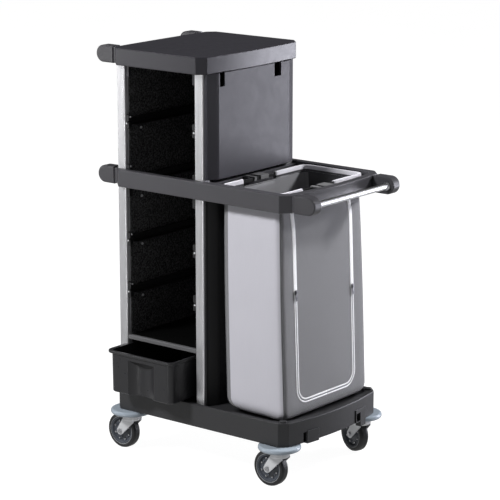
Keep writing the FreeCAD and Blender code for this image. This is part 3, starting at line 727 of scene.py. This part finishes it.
# foot and top of one tooth: along the zip, across it, up from the cloth
TOOTH = [(-1, -1.9, 0.3), (-1, 1.9, 0.3), (1, 1.9, 0.3), (1, -1.9, 0.3),
         (-0.6, -1.4, 1.5), (-0.6, 1.4, 1.5), (0.6, 1.4, 1.5), (0.6, -1.4, 1.5)]
TOOTH_FACES = [(4, 5, 6, 7), (0, 1, 5, 4), (1, 2, 6, 5), (2, 3, 7, 6), (3, 0, 4, 7), (3, 2, 1, 0)]


def make_coil(name, path):
    """Closed teeth: short bars set across the line at an even pitch."""
    verts, faces = [], []
    for y, z, ty, tz in walk(path, TOOTH_PITCH):
        ny, nz = -tz, ty
        base = len(verts)
        for along, across, lift in TOOTH:
            verts.append(face_point(y + ty * along + ny * across,
                                    z + tz * along + nz * across, lift))
        faces += [tuple(base + i for i in face) for face in TOOTH_FACES]
    fix_normals(new_piece(name, verts, faces, [COIL], "bag", smooth=False))


def walk(path, pitch):
    """Even steps along a 2-D line: position and direction."""
    out = []
    left = pitch / 2
    for (ya, za), (yb, zb) in zip(path, path[1:]):
        size = math.hypot(yb - ya, zb - za)
        if size < 1e-9:
            continue
        ty, tz = (yb - ya) / size, (zb - za) / size
        while left <= size:
            out.append((ya + ty * left, za + tz * left, ty, tz))
            left += pitch
        left -= size
    return out


HEM = (78.0, 350.0, 243.0, 32.0)    # from x to x, half the width, corner radius
HEM_WHITE_Z = 1033.0                # the hem is light above this height
HEM_LOW, HEM_HIGH = 1015.5, 1045.0
HEM_FLAT_Z = 1040.0                 # no puckers above this height
LOOP_POINTS = 28
LOOP_POWER = 2 / 5                  # rounds the hem's section towards an upright slot


def hem_path(sign, inset=5.5):
    """Centre line of the hem on one half, from the handle side round to the tower side."""
    x0, x1, half, r = HEM
    edge = -GAP[0] if sign < 0 else GAP[1]
    pts = [(x1 - inset, -edge - (half - r - edge) * i / 12, (1.0, 0.0)) for i in range(13)]
    for i in range(1, 9):
        a = math.pi / 2 * i / 9
        n = (math.cos(a), -math.sin(a))
        pts.append((x1 - r + (r - inset) * n[0], -(half - r) + (r - inset) * n[1], n))
    for i in range(17):
        pts.append((x1 - r + (x0 - x1 + 2 * r) * i / 16, -half + inset, (0.0, -1.0)))
    for i in range(1, 9):
        a = math.pi / 2 * i / 9
        n = (-math.sin(a), -math.cos(a))
        pts.append((x0 + r + (r - inset) * n[0], -(half - r) + (r - inset) * n[1], n))
    for i in range(13):
        pts.append((x0 + inset, -(half - r) + (half - r - edge) * i / 12, (-1.0, 0.0)))
    return [(x, -sign * y, (nx, -sign * ny)) for x, y, (nx, ny) in pts]


def loop_profile(half, z0, z1):
    """Rounded upright loop about the hem's centre line."""
    pts = []
    for i in range(LOOP_POINTS):
        a = 2 * math.pi * i / LOOP_POINTS
        c, s = math.cos(a), math.sin(a)
        across = half * math.copysign(abs(c) ** LOOP_POWER, c)
        up = (z0 + z1) / 2 + (z1 - z0) / 2 * math.copysign(abs(s) ** LOOP_POWER, s)
        pts.append((across, up))
    return pts


def make_hem(name, sign):
    """Tunnel of cloth round the bag's frame, on one half; it is open at both ends."""
    path = hem_path(sign)
    outer = loop_profile(5.4, HEM_LOW, HEM_HIGH)
    inner = loop_profile(3.5, 1027.5, 1042.6)
    count = LOOP_POINTS
    verts = []
    for loop in (outer, inner):
        for k, (x, y, (nx, ny)) in enumerate(path):
            ease = math.sin(math.pi * k / (len(path) - 1)) ** 0.5
            puff = 0.45 * math.sin(k * 1.9) * ease if loop is outer else 0.0
            for across, up in loop:
                low = bell(up, HEM_LOW, 5.0) if loop is outer else 0.0
                swell = puff * math.copysign(1, across) if up < HEM_FLAT_Z else 0.0
                d = across + swell * (1 - low)
                d -= 2.0 * low * math.copysign(1, across)
                verts.append((x + nx * d, y + ny * d, up))
    rings = len(path)
    faces = tube_faces(rings, count)
    faces += tube_faces(rings, count, first=rings * count)
    for ring in (0, rings - 1):
        for c in range(count):
            a = ring * count + c
            b = ring * count + (c + 1) % count
            faces.append((a, b, b + rings * count, a + rings * count))
    kinds = []
    for face in faces:
        up = sum(verts[i][2] for i in face) / len(face)
        # below HEM_WHITE_Z the hem takes the shaded lining copy, a painted shadow under the white
        # band
        kinds.append(0 if up > HEM_WHITE_Z else 1)
    fix_normals(new_piece(name, verts, faces, [HEM_CLOTH, LINING_PAINTED_SHADE], "bag",
                          kinds=kinds))


def rod(name, points, radius, material):
    """Round binding along a line of points in mm."""
    sides = 10
    pts = np.array(points, float)
    verts = []
    for i in range(len(pts)):
        t = pts[min(i + 1, len(pts) - 1)] - pts[max(i - 1, 0)]
        t /= np.linalg.norm(t)
        a, b = side_axes(t)
        for k in range(sides):
            ang = 2 * math.pi * k / sides
            verts.append(pts[i] + radius * (a * math.cos(ang) + b * math.sin(ang)))
    faces = tube_faces(len(pts), sides)
    faces.append(tuple(reversed(range(sides))))
    faces.append(tuple(range((len(pts) - 1) * sides, len(pts) * sides)))
    fix_normals(new_piece(name, verts, faces, [material], "bag"))


STITCH_PITCH = 5.0
STITCH_LENGTH = 3.2
STITCH_SIDES = 5


def stitches(name, runs, radius=0.5):
    """Raised threads, pointed at both ends, along lines of points in mm."""
    verts, faces = [], []
    for points in runs:
        pts = np.array(points, float)
        left = STITCH_PITCH / 2
        for a, b in zip(pts, pts[1:]):
            size = np.linalg.norm(b - a)
            if size < 1e-9:
                continue
            t = (b - a) / size
            u, v = side_axes(t)
            while left <= size:
                p = a + t * left
                tip = len(verts)
                near = tip + 1
                far = near + STITCH_SIDES
                verts.append(p - t * STITCH_LENGTH / 2)
                for along in (-0.3, 0.3):
                    for k in range(STITCH_SIDES):
                        ang = 2 * math.pi * k / STITCH_SIDES
                        side = radius * (u * math.cos(ang) + v * math.sin(ang))
                        verts.append(p + t * along * STITCH_LENGTH + side)
                verts.append(p + t * STITCH_LENGTH / 2)
                for k in range(STITCH_SIDES):
                    n = (k + 1) % STITCH_SIDES
                    faces.append((tip, near + n, near + k))
                    faces.append((near + k, near + n, far + n, far + k))
                    faces.append((far + k, far + n, far + STITCH_SIDES))
                left += STITCH_PITCH
            left -= size
    fix_normals(new_piece(name, verts, faces, [THREAD], "bag"))


CORNER_STEP = 12.0


def corner_line(side, turn, z_low, z_high, lift):
    """Line up a corner of the bag, lifted off it."""
    pts = []
    n = int((z_high - z_low) / CORNER_STEP)
    for i in range(n + 1):
        z = z_low + (z_high - z_low) * i / n
        x, y, _ = bag_point((side, 1.0, turn), z)
        a = math.atan2(y, x - (bag_x0(z) + bag_x1(z)) / 2)
        pts.append((x + lift * math.cos(a), y + lift * math.sin(a), z))
    return pts


shell = make_bag_shell()
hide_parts("laundry_bag")
make_hem("bag_hem_front", -1)
make_hem("bag_hem_back", 1)
make_zips()

BINDINGS = {                # side, turn round its corner, radius, cloth
    "front_right": (0, 0.50, 1.1, CLOTH_GREY), "back_right": (1, 0.50, 1.1, CLOTH_GREY),
    "back_left": (2, 0.55, 2.6, TAPE_GREY), "front_left": (3, 0.45, 2.6, TAPE_GREY),
}
for where, (side, turn, radius, cloth) in BINDINGS.items():
    rod("bag_binding_" + where, corner_line(side, turn, BAG_BOTTOM + 3, 1016.0, 0.4), radius, cloth)

for where, side, way in (("handle", 1, 1), ("tower", 3, -1)):
    edge = []
    for i in range(21):
        share = (GAP[0] + (GAP[1] - GAP[0]) * i / 20) / FLAT
        x, y, _ = bag_point((side, share * way, None), GAP_TOP)
        edge.append((x - way * 0.9, y, GAP_TOP))
    rod("bag_gap_binding_" + where, edge, 2.2, TAPE_GREY)

hem_runs = []
for sign in (-1, 1):
    for inset in (0.1, 10.9):
        hem_runs.append([(x, y, 1022.5) for x, y, _ in hem_path(sign, inset)])
stitches("bag_hem_stitches", hem_runs)

seam_runs = []
for y0, _ in SLIDERS.values():
    line = zip_path(y0, ZIP_TOP)
    for off in (-8.0, 8.0):
        run = []
        for i, (y, z) in enumerate(line):
            ny, nz = across_of(line, i)
            run.append(face_point(y + ny * off, z + nz * off, 0.3))
        seam_runs.append(run)
stitches("bag_zip_stitches", seam_runs, radius=0.4)

corner_runs = [corner_line(0, 0.62, 270.0, 1014.0, 0.3), corner_line(1, 0.38, 270.0, 1014.0, 0.3)]
stitches("bag_corner_stitches", corner_runs)


# ---- caster details -----------------------------------------------------
CASTERS = {                 # swivel axis x and y, angle of the fork at rest in degrees
    "front_right": (345.0, -242.0, 0.0), "back_right": (345.0, 242.0, -18.0),
    "front_left": (-345.0, -242.0, 0.0), "back_left": (-345.0, 242.0, 0.0),
}
AXLE_Z = 62.5
TRAIL = 37.0                # axle behind the swivel axis
BEAD_RING, BEAD_OUT, BEAD_THICK = 51.6, 16.6, 1.3
STUD_RING = 35.0
STUD_PROFILE = [(3.4, 9.0), (3.4, 12.4), (2.2, 13.2)]    # radius, distance from the wheel's middle


def caster_point(spot, x, y, z):
    """Point drawn about the swivel axis, turned with the fork and set in its corner."""
    cx, cy, turn = spot
    a = math.radians(turn)
    return (cx + x * math.cos(a) - y * math.sin(a), cy + x * math.sin(a) + y * math.cos(a), z)


def make_wheel_rings(where, spot):
    """Thin bead where the tyre meets the hub, on both faces; its pale colour is a painted ring
    highlight.
    """
    verts, faces = [], []
    around, sides = 64, 8
    for side in (-1, 1):
        first = len(verts)
        for i in range(around):
            a = 2 * math.pi * i / around
            for k in range(sides):
                b = 2 * math.pi * k / sides
                r = BEAD_RING + BEAD_THICK * math.cos(b)
                y = side * (BEAD_OUT + BEAD_THICK * math.sin(b))
                verts.append(caster_point(spot, -TRAIL + r * math.cos(a), y,
                                          AXLE_Z + r * math.sin(a)))
        for i in range(around):
            a0, a1 = first + i * sides, first + (i + 1) % around * sides
            for k in range(sides):
                n = (k + 1) % sides
                faces.append((a0 + k, a0 + n, a1 + n, a1 + k))
    fix_normals(new_piece("wheel_ring_" + where, verts, faces, [BEAD_PAINTED_HIGHLIGHT], "wheel_" + where))


def make_studs(where, spot):
    """Round heads near the rim of the hub, on both faces."""
    verts, faces = [], []
    studs, sides = 8, 10
    for side in (-1, 1):
        for k in range(studs):
            a = 2 * math.pi * (k + 0.5) / studs
            x0, z0 = -TRAIL + STUD_RING * math.cos(a), AXLE_Z + STUD_RING * math.sin(a)
            first = len(verts)
            for r, out in STUD_PROFILE:
                for i in range(sides):
                    b = 2 * math.pi * i / sides
                    verts.append(caster_point(spot, x0 + r * math.cos(b), side * out,
                                              z0 + r * math.sin(b)))
            faces += tube_faces(len(STUD_PROFILE), sides, first=first)
            faces.append(tuple(range(first, first + sides)))
            faces.append(tuple(range(len(verts) - sides, len(verts))))
    fix_normals(new_piece("wheel_studs_" + where, verts, faces, [AXLE], "wheel_" + where))


# pale rubber paints the ring highlight on the tyre's bead
BEAD_PAINTED_HIGHLIGHT = rubber("wheel_bead_painted_highlight", (0.20, 0.205, 0.215), 0.35, 1.2)
for where, spot in CASTERS.items():
    make_wheel_rings(where, spot)
    make_studs(where, spot)


# ---- floor --------------------------------------------------------------
FLOOR = 60.0                # half its side in metres
FLOOR_GLOW = 0.97           # nearly white by itself, so that only soft shadows show on it


def make_floor():
    mesh = bpy.data.meshes.new("floor")
    mesh.from_pydata([(-FLOOR, -FLOOR, 0), (FLOOR, -FLOOR, 0), (FLOOR, FLOOR, 0),
                      (-FLOOR, FLOOR, 0)], [], [(0, 1, 2, 3)])
    floor = bpy.data.objects.new("floor", mesh)
    scene.collection.objects.link(floor)
    f = Finish("floor_pale", 0.6, specular=0.1)
    f.shader.inputs["Emission Color"].default_value = (1.0, 1.0, 1.0, 1.0)
    f.shader.inputs["Emission Strength"].default_value = FLOOR_GLOW
    tone = f.ramp(f.noise(2.0, 2.0), [(0.3, (0.13, 0.13, 0.13)), (0.7, (0.15, 0.15, 0.15))])
    mesh.materials.append(f.done(tone))
    floor.visible_glossy = False
    floor.visible_diffuse = False


make_floor()
